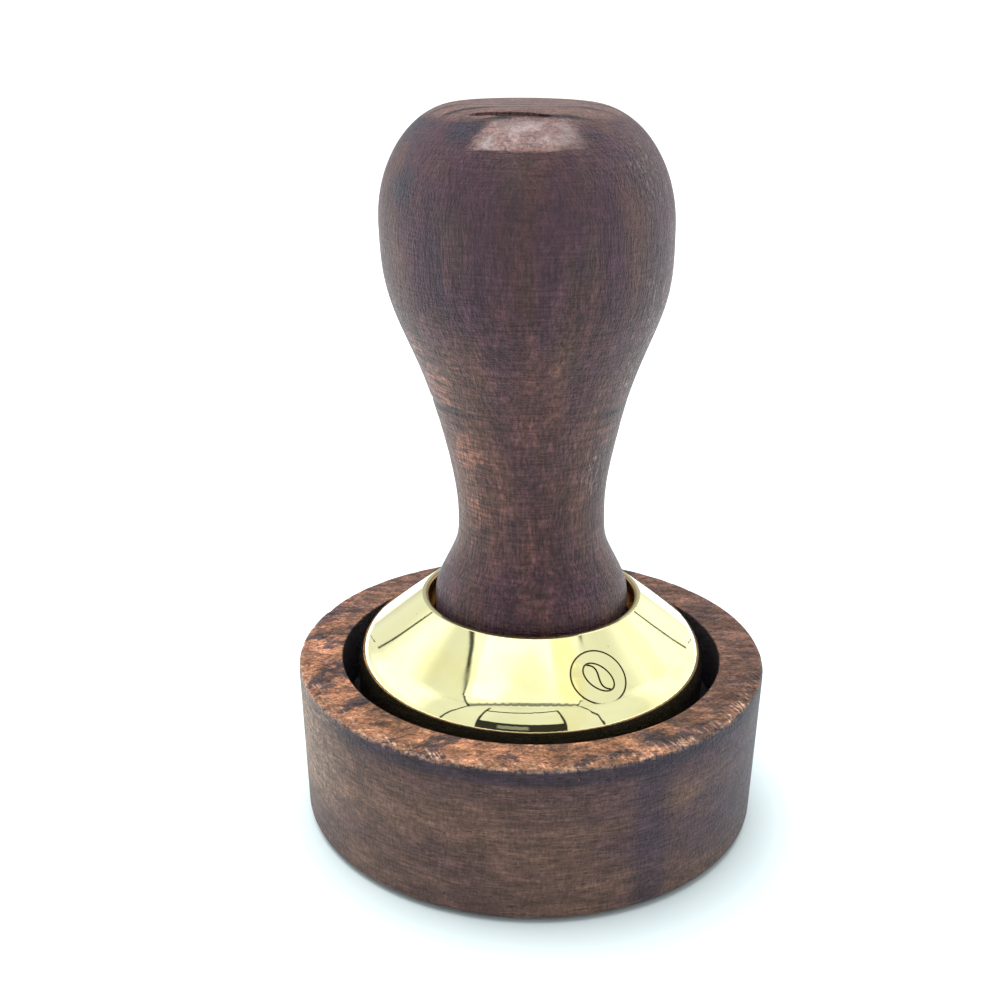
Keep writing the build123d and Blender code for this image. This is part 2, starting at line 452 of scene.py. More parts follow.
bpy.ops.object.select_all(action="DESELECT")
bpy.ops.mesh.primitive_plane_add(size=MM)
stud = bpy.context.object
stud.name = "threaded_stud"
bpy.ops.object.mode_set(mode="EDIT")
bpy.ops.mesh.merge(type="CENTER")
tooth = [(root_radius, 0), (root_radius, 0.16), (chamfer_radius, 0.55), (crest_radius, 0.62)]
tooth += [(crest_radius, 0.70), (chamfer_radius, 0.77), (root_radius, 1.16)]
tooth += [(root_radius, THREAD_PITCH)]
place = (0, 0)
start_height = stud_low.z - 2 * THREAD_PITCH
for index, (radius, height) in enumerate(tooth):
    stride = ((radius - place[0]) * MM, 0, (height - place[1]) * MM)
    if index == 0:
        bpy.ops.transform.translate(value=(stride[0], 0, start_height * MM))
    else:
        bpy.ops.mesh.extrude_vertices_move(TRANSFORM_OT_translate={"value": stride})
    place = (radius, height)
bpy.ops.object.mode_set(mode="OBJECT")
print("one tooth of the thread:", len(tooth), "points")

# %% Wind the thread and trim it
screw = stud.modifiers.new("thread", "SCREW")
screw.angle = 2 * pi
screw.screw_offset = THREAD_PITCH * MM
screw.iterations = turns
screw.steps = screw.render_steps = THREAD_STEPS
screw.use_merge_vertices = True
screw.merge_threshold = 0.002 * MM
bpy.ops.object.modifier_apply(modifier=screw.name)
bpy.ops.object.mode_set(mode="EDIT")
for height, top in ((stud_low.z + 0.02, False), (stud_high.z - 0.02, True)):
    bpy.ops.mesh.select_all(action="SELECT")
    bpy.ops.mesh.bisect(
        plane_co=(0, 0, height * MM),
        plane_no=(0, 0, 1),
        use_fill=True,
        clear_outer=top,
        clear_inner=not top,
    )
bpy.ops.mesh.select_all(action="SELECT")
bpy.ops.mesh.remove_doubles(threshold=0.002 * MM)
bpy.ops.mesh.normals_make_consistent(inside=False)
bpy.ops.object.mode_set(mode="OBJECT")
bpy.ops.object.shade_smooth_by_angle(angle=radians(30))
print("stud:", turns, "turns wound,", len(stud.data.polygons), "faces after trimming")

# %% [markdown]
# ## Shader sums
# A finish is a recipe of patterns.  Wire wraps one output of a node, so that
# sums of patterns are written like ordinary sums, and its node method adds any
# other node: first the node's settings, then the values or wires of its inputs.

# %% The Wire class
class Wire:
    """One output socket in a shader tree."""

    def __init__(self, tree, socket):
        self.tree = tree
        self.socket = socket

    def node(self, kind, settings=None, inputs=None, output=0):
        """Add a node: its settings first, then its inputs, by name or number."""
        made = self.tree.nodes.new(kind)
        for name, value in (settings or {}).items():
            if name == "stops":
                for stop, (position, colour) in zip(self.spread(made, len(value)), value):
                    stop.position = position
                    stop.color = (*colour, 1)
            else:
                setattr(made, name, value)
        for name, value in (inputs or {}).items():
            if isinstance(value, Wire):
                self.tree.links.new(value.socket, made.inputs[name])
            else:
                made.inputs[name].default_value = value
        return None if output is None else Wire(self.tree, made.outputs[output])

    @staticmethod
    def spread(ramp_node, count):
        """The stops of a colour ramp, once it has as many as are needed."""
        stops = ramp_node.color_ramp.elements
        while len(stops) < count:
            stops.new(1.0)
        return stops

    def sum(self, operation, *values):
        return self.node("ShaderNodeMath", {"operation": operation}, dict(enumerate(values)))

    def __add__(self, other):
        return self.sum("ADD", self, other)

    __radd__ = __add__

    def __sub__(self, other):
        return self.sum("SUBTRACT", self, other)

    def __rsub__(self, other):
        return self.sum("SUBTRACT", other, self)

    def __mul__(self, other):
        return self.sum("MULTIPLY", self, other)

    __rmul__ = __mul__

    def __truediv__(self, other):
        return self.sum("DIVIDE", self, other)

    def __rtruediv__(self, other):
        return self.sum("DIVIDE", other, self)

    def __pow__(self, other):
        return self.sum("POWER", self, other)

    def __rpow__(self, other):
        return self.sum("POWER", other, self)

    def __abs__(self):
        return self.sum("ABSOLUTE", self)

    def slope(self, low, high):
        """0 at low, 1 at high, smooth between; low may be the larger one."""
        return self.node(
            "ShaderNodeMapRange",
            {"interpolation_type": "SMOOTHSTEP", "clamp": True},
            {"Value": self, "From Min": low, "From Max": high},
        )

    def vector_sum(self, operation, *values, output=0):
        inputs = {3 if operation == "SCALE" and index else index: v for index, v in enumerate(values)}
        return self.node("ShaderNodeVectorMath", {"operation": operation}, inputs, output)

    def stretched(self, x, y, z):
        """This vector with each axis multiplied, which makes a pattern longer where it is small."""
        return self.vector_sum("MULTIPLY", self, (x, y, z))

    def shifted(self, x, y, z):
        return self.vector_sum("ADD", self, (x, y, z))

    def turned(self, degrees):
        """This vector turned about the Z axis."""
        return self.node(
            "ShaderNodeVectorRotate",
            {"rotation_type": "Z_AXIS"},
            {"Vector": self, "Angle": radians(degrees)},
        )

    def axis(self, letter):
        return self.node("ShaderNodeSeparateXYZ", None, {0: self}, letter)

    def cloud(self, size, detail=2.0, roughness=0.5, twist=0.0):
        """Noise around 0.5 whose features are `size` of this vector's units wide."""
        settings = {"noise_dimensions": "3D"}
        inputs = {"Vector": self, "Scale": 1 / size, "Detail": detail}
        inputs.update({"Roughness": roughness, "Distortion": twist})
        return self.node("ShaderNodeTexNoise", settings, inputs)

    def layered(self, ground, *coats):
        """A ground colour under coats, each given as its share (0 to 1) and its colour."""
        colour = (*ground, 1)
        for share, coat in coats:
            coat = coat if isinstance(coat, Wire) else (*coat, 1)
            colour = self.node("ShaderNodeMix", {"data_type": "RGBA"}, {0: share, 6: colour, 7: coat}, 2)
        return colour

    def surface(self, colour, roughness, relief, relief_mm, **others):
        """The Principled shader, with colour, roughness and a bump of relief (0 to 1) in mm."""
        bump_inputs = {"Height": relief, "Distance": relief_mm * MM, "Strength": 1.0}
        inputs = {"Base Color": colour, "Roughness": roughness}
        inputs["Normal"] = self.node("ShaderNodeBump", None, bump_inputs)
        inputs.update({name.replace("_", " "): value for name, value in others.items()})
        return self.node("ShaderNodeBsdfPrincipled", None, inputs)

    def reach(self):
        """Distance from the Z axis."""
        flat = self.stretched(1, 1, 0)
        return self.vector_sum("LENGTH", flat, output="Value")

    def spot(self, at, size):
        """1 round one point of the piece, fading out `size` mm away with a ragged edge."""
        away = self.shifted(*(-value for value in at))
        distance = self.vector_sum("LENGTH", away, output="Value")
        ragged = distance + 1.6 * size * (self.cloud(size * 0.45, 4.0, 0.7) - 0.5)
        return ragged.slope(size, size * 0.35)

    def spots(self, places):
        """The sum of several spots, each listed as (point, size)."""
        total = 0.0
        for at, size in places:
            total = self.spot(at, size) + total
        return total


def new_finish(name, recipe):
    """A material made by recipe(mm), where mm is the object's own coordinates in millimetres."""
    material = bpy.data.materials.new(name)
    material.use_nodes = True
    tree = material.node_tree
    tree.nodes.clear()
    start = Wire(tree, None)
    metres = start.node("ShaderNodeTexCoord", output="Object")
    surface = recipe(metres.vector_sum("SCALE", metres, 1 / MM))
    surface.node("ShaderNodeOutputMaterial", None, {"Surface": surface}, None)
    print("finish", name, "uses", len(tree.nodes), "nodes")
    return material


# %% [markdown]
# ## The handle's wood
# The blank is a fine-grained wood stained with a thin dark stain.  Along the
# grain run fibres and pores; across it the lathe has left faint rings.  The
# stain has taken unevenly, in plum, red-brown and olive, and it is rubbed down
# to orange wood where a hand holds the neck.  Everything is a solid pattern in
# the object's own millimetres, so it runs on through dents and round the top.

# %% The handle's colours and marks
PLUM = (0.064, 0.027, 0.042)
RED_BROWN = (0.094, 0.040, 0.032)
OLIVE_BROWN = (0.088, 0.056, 0.036)
SLATE = (0.026, 0.024, 0.042)
BARE_ORANGE = (0.34, 0.135, 0.080)
NECK_BROWN = (0.152, 0.070, 0.054)
END_GRAIN_SHEEN_TAN = (0.26, 0.15, 0.115)
WORN_TAN = (0.21, 0.105, 0.074)
PAINTED_HIGHLIGHT_ROSE = (0.27, 0.125, 0.100)
SHEEN_CREAM = (0.42, 0.33, 0.28)
PORE_DARK = (0.010, 0.007, 0.011)
RING_DARK = (0.012, 0.008, 0.010)
GRIP_SCARS = (
    ((-14.0, -9.0, 75.5), 4.2),
    ((-10.6, -9.2, 65.0), 4.6),
    ((-10.0, -8.2, 55.0), 3.4),
    ((-17.5, -9.0, 82.0), 3.0),
)
STAIN_SMEARS = (((-9.6, -13.5, 112.6), 4.6), ((-19.0, -11.0, 105.0), 4.0), ((-16.5, -4.0, 112.0), 5.0))
TORN_GRAIN_AND_SHEEN_PATCHES = (
    ((19.0, -11.0, 88.0), 9.0),
    ((16.0, -9.0, 78.0), 7.0),
    ((-22.0, -4.0, 92.0), 9.0),
    ((-18.5, -7.0, 84.0), 7.0),
    ((10.5, -8.5, 62.0), 5.0),
    ((15.5, -11.0, 108.0), 7.0),
)



# %% Where the palm rests, and a painted highlight
def palm_polish_and_highlight_place(mm, stain, lathe_lines):
    """1 on the front shoulder's palm-polished patch, where a rose highlight is also painted, 0 elsewhere.
    """
    height = mm.axis("Z")
    across = mm.axis("X") + 5 * (stain - 0.5)
    place = (height + 0.7 * (lathe_lines - 0.5)).slope(110.6, 111.4)
    place = place * (height + 3 * (stain - 0.5)).slope(115.0, 113.6)
    place = place * (across - 0.75 * (height - 111)).slope(-10.4, -8.8)
    return place * across.slope(6.5, 1.0) * mm.axis("Y").slope(0, -5)


# %% Painted shade in and under the neck's groove
def groove_painted_shade(mm, stain, hairs):
    """Painted shade: a dark double line in and under the groove, clear on the sides and faint in front."""
    height = mm.axis("Z") + 0.8 * (stain - 0.5)
    in_groove = abs(height - NECK_GROOVE).slope(1.1, 0.3)
    below_groove = 0.6 * abs(height - (NECK_GROOVE - 2)).slope(0.5, 0.1)
    sideways = (abs(mm.axis("X")) / mm.reach()).slope(0.35, 0.75)
    return (in_groove + below_groove) * sideways * (0.4 + 0.6 * hairs)


# %% Year rings in the end grain
def year_rings(mm):
    """1 on the dark late wood of each year, as arcs round a pith that lies behind the handle."""
    away_from_pith = mm.shifted(6, -52, 0).reach() + 1.4 * mm.cloud(7.0, 2.0)
    year = away_from_pith.sum("PINGPONG", away_from_pith, 2.2)
    return year.slope(0.8, 0.2) * mm.cloud(6.0, 3.0).slope(0.32, 0.48)


# %% Handle wood
def handle_wood(mm):
    fibres = mm.stretched(1, 1, 0.14).cloud(0.50, 3.0, 0.70).slope(0.30, 0.70)
    hairs = mm.stretched(1, 1, 0.30).shifted(7, 3, 1).cloud(0.42, 2.0, 0.7).slope(0.32, 0.68)
    broad_grain = mm.stretched(1, 1, 0.10).shifted(31, 7, 0).cloud(2.2, 3.0, 0.6).slope(0.28, 0.72)
    pores = mm.stretched(1, 1, 0.18).shifted(5, 11, 3).cloud(0.18, 1.0, 0.4).slope(0.60, 0.74)
    lathe_lines = mm.stretched(0.10, 0.10, 1).cloud(0.42, 3.0, 0.7).slope(0.30, 0.70)
    stain = mm.stretched(1, 1, 0.30).cloud(7.0, 4.0, 0.6)
    stain_olive = mm.shifted(40, 13, 27).stretched(1, 1, 0.35).cloud(8.0, 3.0, 0.6)
    stain_slate = mm.shifted(17, 71, 5).stretched(1, 1, 0.25).cloud(6.0, 4.0, 0.65)
    grit = mm.stretched(1, 1, 0.55).cloud(0.42, 3.0, 0.8)

    height = mm.axis("Z")
    torn_grain_and_sheen = mm.spots(TORN_GRAIN_AND_SHEEN_PATCHES)
    scarred = mm.spots(GRIP_SCARS) * (0.6 * grit + 0.2 * lathe_lines + 0.2 * fibres).slope(0.42, 0.56)
    left_of_front = (0 - mm.axis("X") - 0.35 * mm.axis("Y")) / mm.reach()
    handled = left_of_front.slope(0.55, 1.05) * height.slope(44, 56) * height.slope(88, 74)
    handled = handled * (0.3 * lathe_lines + 0.7 * grit).slope(0.38, 0.58)
    neck_warmth = height.slope(88, 70) * height.slope(42, 50) * (0.4 + 0.6 * stain.slope(0.35, 0.6))
    end_grain = height.slope(113.8, 115.0)
    polish_and_highlight_place = palm_polish_and_highlight_place(mm, stain, lathe_lines)

    colour = mm.layered(
        PLUM,
        (stain.slope(0.42, 0.66) * 0.75, RED_BROWN),
        (stain_olive.slope(0.50, 0.72) * 0.35, OLIVE_BROWN),
        (stain_slate.slope(0.52, 0.72) * 0.5, SLATE),
        (mm.spots(STAIN_SMEARS) * 0.85, SLATE),
        (neck_warmth * 0.6, NECK_BROWN),
        (handled * 0.6, WORN_TAN),
        (scarred * 0.75, BARE_ORANGE),
        (broad_grain.slope(0.70, 0.98) * grit.slope(0.42, 0.60) * 0.10, BARE_ORANGE),
        # painted highlight: the rose colour on the polished patch stands in for the shine of the light
        # there
        (polish_and_highlight_place * 0.75, PAINTED_HIGHLIGHT_ROSE),
        # painted sheen: cream and dark flecks on the side patches stand in for grazing light on torn
        # grain; the bump there is real
        (torn_grain_and_sheen * (0.6 * grit + 0.4 * fibres).slope(0.52, 0.72) * 0.35, SHEEN_CREAM),
        (torn_grain_and_sheen * grit.slope(0.47, 0.40) * 0.9, PORE_DARK),
        # painted shade along the neck's groove
        (groove_painted_shade(mm, stain, hairs) * 0.85, PORE_DARK),
        (pores * 0.3, PORE_DARK),
        # painted sheen: a tan ground on the top's end grain stands in for grazing light there
        (end_grain * 0.6 * grit.slope(0.30, 0.55), END_GRAIN_SHEEN_TAN),
        (end_grain * year_rings(mm) * 0.95, RING_DARK),
    )
    rougher = height.slope(104, 80)
    swing = 0.44 * fibres + 0.44 * hairs + 0.34 * broad_grain + 0.44 * lathe_lines - 0.83
    colour = colour.vector_sum("SCALE", colour, (2.1 + 2.7 * rougher) ** swing)
    roughness = 0.34 + 0.3 * (grit - 0.5) + 0.14 * stain_slate
    relief = 0.15 * fibres + 0.14 * hairs + 0.16 * lathe_lines - 0.2 * pores
    relief = relief + (0.25 + 0.35 * torn_grain_and_sheen) * grit
    bright_spots = mm.shifted(2, 0, 5).cloud(3.6, 2.0).slope(0.36, 0.60)
    palm_polish = polish_and_highlight_place * (0.18 + 0.6 * bright_spots + 0.5 * hairs * fibres)
    return mm.surface(
        colour,
        roughness,
        relief,
        1.10,
        Specular_IOR_Level=0.36,
        Sheen_Weight=0.08,
        Sheen_Roughness=0.3,
        Coat_Weight=palm_polish,
        Coat_Roughness=0.14,
        Coat_IOR=3.0,
    )


# %% [markdown]
# ## The stand's wood
# The stand is the same wood with its grain lying flat, so fibres run sideways on
# the wall.  The rim has been handled most: its stain is scraped to orange in
# patches, with short saw marks across it, while the wall stays dark and waxed.

# %% The stand's colours
RIM_BROWN = (0.135, 0.068, 0.046)
RIM_ORANGE = (0.400, 0.178, 0.092)
RIM_SLATE = (0.024, 0.022, 0.034)
RUBBED_EDGE = (0.47, 0.31, 0.21)
WALL_BROWN = (0.096, 0.049, 0.042)
WALL_PLUM = (0.082, 0.042, 0.056)
WALL_OLIVE = (0.150, 0.080, 0.056)
WALL_SHEEN_TAN = (0.38, 0.24, 0.155)
STREAK_PLUM = (0.040, 0.027, 0.046)
UNDER_RIM = (0.030, 0.020, 0.034)
RECESS_STAIN_AND_SHADE = (0.016, 0.011, 0.020)



# %% The wall
def stand_wall(mm, fibres, stain, grit):
    """Brown in front, plum to the right, a painted tan sheen on the left and dark under the rim."""
    height, east, south = mm.axis("Z"), mm.axis("X"), 0 - mm.axis("Y")
    eastward = east / mm.reach()
    plum_side = (eastward + 0.8 * (stain - 0.5)).slope(-0.2, 0.6)
    under_rim = (height + 1.6 * (stain - 0.5)).slope(stand_high.z - 3.6, stand_high.z - 2.2)
    dark_streak = east.slope(13.6, 16.4) * east.slope(21.5, 18.5) * south.slope(0, 5)
    # painted sheen: the left side of the wall is tinted tan where grazing light would brighten it
    tan_sheen_side = (0 - eastward).slope(0.66, 0.96) * height.slope(6, 14) * (0.35 + 0.65 * fibres)
    scratches = mm.turned(25).stretched(0.04, 1, 0.5).shifted(3, 8, 2)
    scratches = scratches.cloud(0.4, 1.0, 0.4).slope(0.79, 0.81)
    return mm.layered(
        WALL_BROWN,
        (plum_side * 0.85, WALL_PLUM),
        (stain.slope(0.36, 0.66) * height.slope(25, 19), WALL_OLIVE),
        (eastward.slope(0.55, 0.95) * 0.4, SLATE),
        (dark_streak * 0.65, STREAK_PLUM),
        (under_rim * 0.8, UNDER_RIM),
        (tan_sheen_side * (0.3 + 0.7 * grit.slope(0.40, 0.56)), WALL_SHEEN_TAN),
        (scratches * 0.35, RUBBED_EDGE),
    )


# %% The rim
def stand_rim(mm, worn_side, grit):
    """Brown scraped to orange, with slate patches and streaks, and saw marks near the edge."""
    scraped = mm.turned(20).stretched(0.7, 1, 1).shifted(2, 5, 0).cloud(4.6, 6.0, 0.75)
    scraped = scraped + 0.10 * (worn_side - 0.5)
    slate_patches = mm.turned(-30).stretched(0.6, 1, 1).shifted(9, 1, 0).cloud(5.5, 5.0, 0.72)
    streaks = mm.turned(-38).stretched(0.12, 1, 1).cloud(0.36, 3.0, 0.7)
    outer = mm.reach().slope(stand_high.x - 3.2, stand_high.x - 1.4)
    saw_marks = mm.turned(66).stretched(0.22, 1.4, 1).cloud(0.60, 2.0, 0.5).slope(0.55, 0.62)
    front = (0 - mm.axis("Y")).slope(4, 20)
    orange = scraped.slope(0.44, 0.56) * grit.slope(0.30, 0.52) * (0.20 + 0.80 * worn_side)
    slate = slate_patches.slope(0.51, 0.57) * (0.35 + 0.50 * worn_side) * grit.slope(0.26, 0.48)
    return mm.layered(
        RIM_BROWN,
        (orange, RIM_ORANGE),
        (slate, RIM_SLATE),
        (streaks.slope(0.48, 0.68) * 0.55, RIM_SLATE),
        (grit.slope(0.60, 0.72) * 0.5, RIM_SLATE),
        (outer * saw_marks * front * 0.6, RUBBED_EDGE),
        (grit.slope(0.58, 0.66) * worn_side * 0.25, RUBBED_EDGE),
    )


# %% Stand wood
def stand_wood(mm):
    fibres = mm.stretched(0.11, 0.35, 1).cloud(0.40, 3.0, 0.7).slope(0.30, 0.70)
    cross_marks = mm.stretched(1, 1, 0.35).cloud(0.42, 2.0, 0.7).slope(0.30, 0.70)
    turning = mm.stretched(0.08, 0.08, 1).cloud(0.50, 3.0, 0.7).slope(0.30, 0.70)
    broad_grain = mm.stretched(0.30, 0.6, 1).shifted(8, 3, 5).cloud(2.0, 4.0, 0.65).slope(0.28, 0.72)
    pores = mm.stretched(0.22, 0.6, 1).cloud(0.22, 1.0, 0.4).slope(0.62, 0.74)
    stain = mm.shifted(4, 9, 2).stretched(0.25, 0.35, 0.75).cloud(7.0, 4.0, 0.65)
    grit = mm.cloud(0.46, 3.0, 0.8)

    height, reach = mm.axis("Z"), mm.reach()
    east, south = mm.axis("X"), 0 - mm.axis("Y")
    worn_side = ((south * 0.80 - east * 0.60) / reach).slope(-0.25, 0.55)
    rim = height.slope(stand_high.z - 0.45, stand_high.z - 0.12)
    near_top = height.slope(stand_high.z - 0.9, stand_high.z - 0.4)
    at_edge = reach.slope(stand_high.x - 0.75, stand_high.x - 0.30) * near_top
    edge_line = at_edge * mm.cloud(1.1, 4.0, 0.8).slope(0.42, 0.60) * (0.25 + 0.75 * worn_side)
    # painted shade: the recess wall is painted nearly black, dark stain deepened to stand in for the shade
    # in the narrow gap
    inside = reach.slope(recess_radius + 0.25, recess_radius + 0.02)
    colour = mm.layered(
        (0, 0, 0),
        (1.0, stand_wall(mm, fibres, stain, grit)),
        (rim, stand_rim(mm, worn_side, grit)),
        (edge_line * 0.45, RUBBED_EDGE),
        (pores * 0.5, PORE_DARK),
        (inside, RECESS_STAIN_AND_SHADE),
    )
    swing = 0.52 * fibres + 0.42 * broad_grain + 0.36 * turning + 0.42 * cross_marks - 0.86
    colour = colour.vector_sum("SCALE", colour, (3.2 + 2.5 * rim) ** swing)
    roughness = 0.44 + 0.3 * (grit - 0.5) + 0.1 * rim
    relief = 0.18 * fibres + 0.10 * turning + 0.12 * cross_marks - 0.25 * pores
    relief = relief + (0.2 + 0.1 * rim) * grit
    return mm.surface(colour, roughness, relief, 0.95, Specular_IOR_Level=0.28)


# %% [markdown]
# ## Polished brass
# Buffed brass is almost a mirror.  What tells it from a drawing of a mirror is
# small: a breath of polishing marks, a slightly uneven colour, and pin-prick
# pits.  The engraved emblem is darker, because its floor was never buffed.

# %% Brass
BRASS = (0.93, 0.90, 0.50)
BRASS_DEEP = (0.90, 0.83, 0.36)
ENGRAVED = (0.10, 0.08, 0.035)
SOCKET_BROWN = (0.42, 0.20, 0.07)
CONE_TOP_RADIUS = 18.1
CONE_SLOPE = 0.8012


def polished_brass(mm):
    reach = mm.reach()
    height = mm.axis("Z")
    cone_height = base_high.z - (reach - CONE_TOP_RADIUS) * CONE_SLOPE
    below_cone = cone_height - height
    on_cone = reach.slope(18.6, 18.8) * reach.slope(27.2, 26.8) * height.slope(29.0, 30.0)
    engraving = on_cone * below_cone.slope(0.06, 0.14)
    pits = mm.cloud(0.5, 1.0, 0.4).slope(0.80, 0.83)
    socket = reach.slope(17.75, 17.4) * height.slope(30.5, 31.5)
    colour = mm.layered(
        BRASS,
        (mm.cloud(9.0, 3.0, 0.6).slope(0.45, 0.75) * 0.7, BRASS_DEEP),
        (socket * 0.85, SOCKET_BROWN),
        (engraving, ENGRAVED),
        (pits * 0.7, ENGRAVED),
    )
    mottled = mm.cloud(6.0, 4.0, 0.6).slope(0.45, 0.7)
    roughness = 0.03 + 0.025 * mottled + 0.35 * engraving + 0.2 * socket
    relief = 0.6 * mm.cloud(0.6, 2.0, 0.5) - pits
    return mm.surface(colour, roughness, relief, 0.0004, Metallic=1.0)


# %% [markdown]
# ## Leather, rubber, steel and the insert's brass
# The small pieces are seen only when the tamper is lifted, unscrewed or turned
# over, and they still deserve their own surface: leather has its small scales,
# rubber a dull skin with dust, and the steel and the insert turning marks.

# %% Leather and rubber
LEATHER = (0.012, 0.011, 0.014)
LEATHER_RUBBED = (0.045, 0.036, 0.034)
RUBBER = (0.016, 0.016, 0.018)
RUBBER_DUST = (0.11, 0.10, 0.095)


def black_leather(mm):
    voronoi = {"feature": "DISTANCE_TO_EDGE"}
    scales = mm.node("ShaderNodeTexVoronoi", voronoi, {"Vector": mm, "Scale": 1.5})
    rubbed = mm.cloud(7.0, 4.0, 0.6).slope(0.5, 0.75)
    colour = mm.layered(LEATHER, (rubbed * 0.5, LEATHER_RUBBED))
    relief = scales.slope(0.0, 0.10) + 0.3 * mm.cloud(0.3, 2.0)
    return mm.surface(colour, 0.75 - 0.15 * rubbed, relief, 0.06, Specular_IOR_Level=0.12)


def dull_rubber(mm):
    dust = mm.cloud(4.0, 5.0, 0.7).slope(0.5, 0.75)
    colour = mm.layered(RUBBER, (dust * 0.35, RUBBER_DUST))
    return mm.surface(colour, 0.62 + 0.25 * dust, mm.cloud(0.25, 3.0, 0.6), 0.02)


# %% Turned metal
STEEL = (0.46, 0.46, 0.47)
STEEL_OILED = (0.22, 0.20, 0.18)
INSERT_BRASS = (0.72, 0.52, 0.22)
INSERT_TARNISH = (0.32, 0.20, 0.08)


def stud_steel(mm):
    streak = mm.stretched(0.1, 0.1, 1).cloud(0.12, 3.0, 0.7)
    oil = mm.cloud(2.5, 3.0, 0.6).slope(0.5, 0.7)
    colour = mm.layered(STEEL, (oil * 0.6, STEEL_OILED))
    return mm.surface(colour, 0.28 + 0.2 * streak, streak, 0.01, Metallic=1.0)


def insert_brass(mm):
    streak = mm.stretched(0.1, 0.1, 1).cloud(0.15, 3.0, 0.7)
    tarnish = mm.cloud(2.0, 4.0, 0.6).slope(0.45, 0.7)
    colour = mm.layered(INSERT_BRASS, (tarnish * 0.5, INSERT_TARNISH))
    return mm.surface(colour, 0.3 + 0.2 * streak, streak, 0.01, Metallic=1.0)


# %% [markdown]
# ## Fitting finishes and pieces to the frame
# Each new piece rides on the body of the node that it stands for, takes that
# node's material slot, and hides the node.  The brass base and the threaded
# insert keep their CAD meshes, whose normals are exact, and only get a finish.

# %% Ride, replace and paint
finishes = {
    "handle_wood": new_finish("handle_wood_finish", handle_wood),
    "stand_wood": new_finish("stand_wood_finish", stand_wood),
    "polished_brass": new_finish("polished_brass_finish", polished_brass),
    "pad_leather": new_finish("pad_leather_finish", black_leather),
    "foot_rubber": new_finish("foot_rubber_finish", dull_rubber),
    "washer_rubber": new_finish("washer_rubber_finish", dull_rubber),
    "stud_steel": new_finish("stud_steel_finish", stud_steel),
    "insert_brass": new_finish("insert_brass_finish", insert_brass),
}
stands_for = (
    (stand, "stand_body", "stand", "stand_wood"),
    (leather_disc, "leather_pad", "stand", "pad_leather"),
    (rubber_foot, "foot_pad", "stand", "foot_rubber"),
    (stud, "base_stud", "base", "stud_steel"),
    (washer, "foot_washer", "washer", "washer_rubber"),
    (handle, "handle", "grip", "handle_wood"),
)
for piece, node, body, slot in stands_for:
    piece.data.materials.clear()
    piece.data.materials.append(finishes[slot])
    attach(piece, body)
    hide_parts(node)
    print(piece.name, "stands for", node, "on body", body)
for node, slot in (("tamper_base", "polished_brass"), ("handle_insert", "insert_brass")):
    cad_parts[node].material_slots[0].material = finishes[slot]

# %% [markdown]
# ## A light tent and a pale table
# Polished metal shows its surroundings, so the surroundings are part of the
# finish.  The world is a white light tent, worked out from the direction alone:
# a brighter ceiling, thin dark seams round it and down the corners, and a dark
# slot in front where the camera looks in.  Camera rays see the tent plain.

# %% Directions in the tent
world = bpy.data.worlds.new("light_tent")
bpy.context.scene.world = world
world.use_nodes = True
world.node_tree.nodes.clear()
start = Wire(world.node_tree, None)
direction = start.node("ShaderNodeTexCoord", output="Generated")
east, north, up = (direction.axis(letter) for letter in "XYZ")
level = up.sum("MAXIMUM", up, 0.001)
ceiling_x, ceiling_y = east / level, north / level
azimuth = east.sum("ARCTAN2", east, 0 - north) * degrees(1)
elevation = up.sum("ARCSINE", up) * degrees(1)


def within(value, low, high, soft):
    """1 where value lies between low and high, with soft ends."""
    return value.slope(low - soft, low) * value.slope(high + soft, high)


def held(value, low, high):
    """value, but never below low or above high."""
    return value.sum("MINIMUM", value.sum("MAXIMUM", value, low), high)


def line(distance, width):
    """1 where distance is 0, and 0 from width on."""
    return abs(distance).slope(width, width * 0.35)


print("the tent is worked out from azimuth, elevation and a ceiling one unit up")

# %% The ceiling and the seams round it
SEAM = 0.014
FRONT_SEAM = 0.085

left_bend, right_bend = ceiling_y + 0.12, ceiling_y + 0.20
to_left = ceiling_x + 0.53 + 0.82 * held(left_bend, 0.0, 0.2) - 0.45 * held(left_bend, -2.0, 0.0)
to_right = 0.41 + 1.08 * held(right_bend, 0.0, 0.16) - 0.15 * held(right_bend, -2.0, 0.0) - ceiling_x
to_front = ceiling_y + 0.42 + 0.35 * (ceiling_x - 0.03) * (ceiling_x - 0.03)
overhead = up.slope(0.30, 0.38) * ceiling_y.slope(0.80, 0.66)
ceiling = to_left.slope(0, 0.02) * to_right.slope(0, 0.02) * to_front.slope(0, 0.16)
ceiling = ceiling * overhead
right_gap = ceiling_y.slope(-0.11, -0.07) + 0.6 * ceiling_y.slope(-0.20, -0.24)
right_seam = line(to_right, SEAM) * right_gap
left_seam = line(to_left, SEAM + 0.05 * held(0 - left_bend, 0.0, 0.3))
side_seams = (left_seam + right_seam) * to_front.slope(-0.03, 0)
front_seam = 0.75 * line(to_front, FRONT_SEAM) * to_left.slope(-0.03, 0) * to_right.slope(-0.03, 0)
seams = (side_seams + front_seam) * overhead

# %% Corner posts, and the slot in front with the flap over it
FRONT_POST = 1.1
BACK_POST = 0.38
FLAP_LINE = 1.3

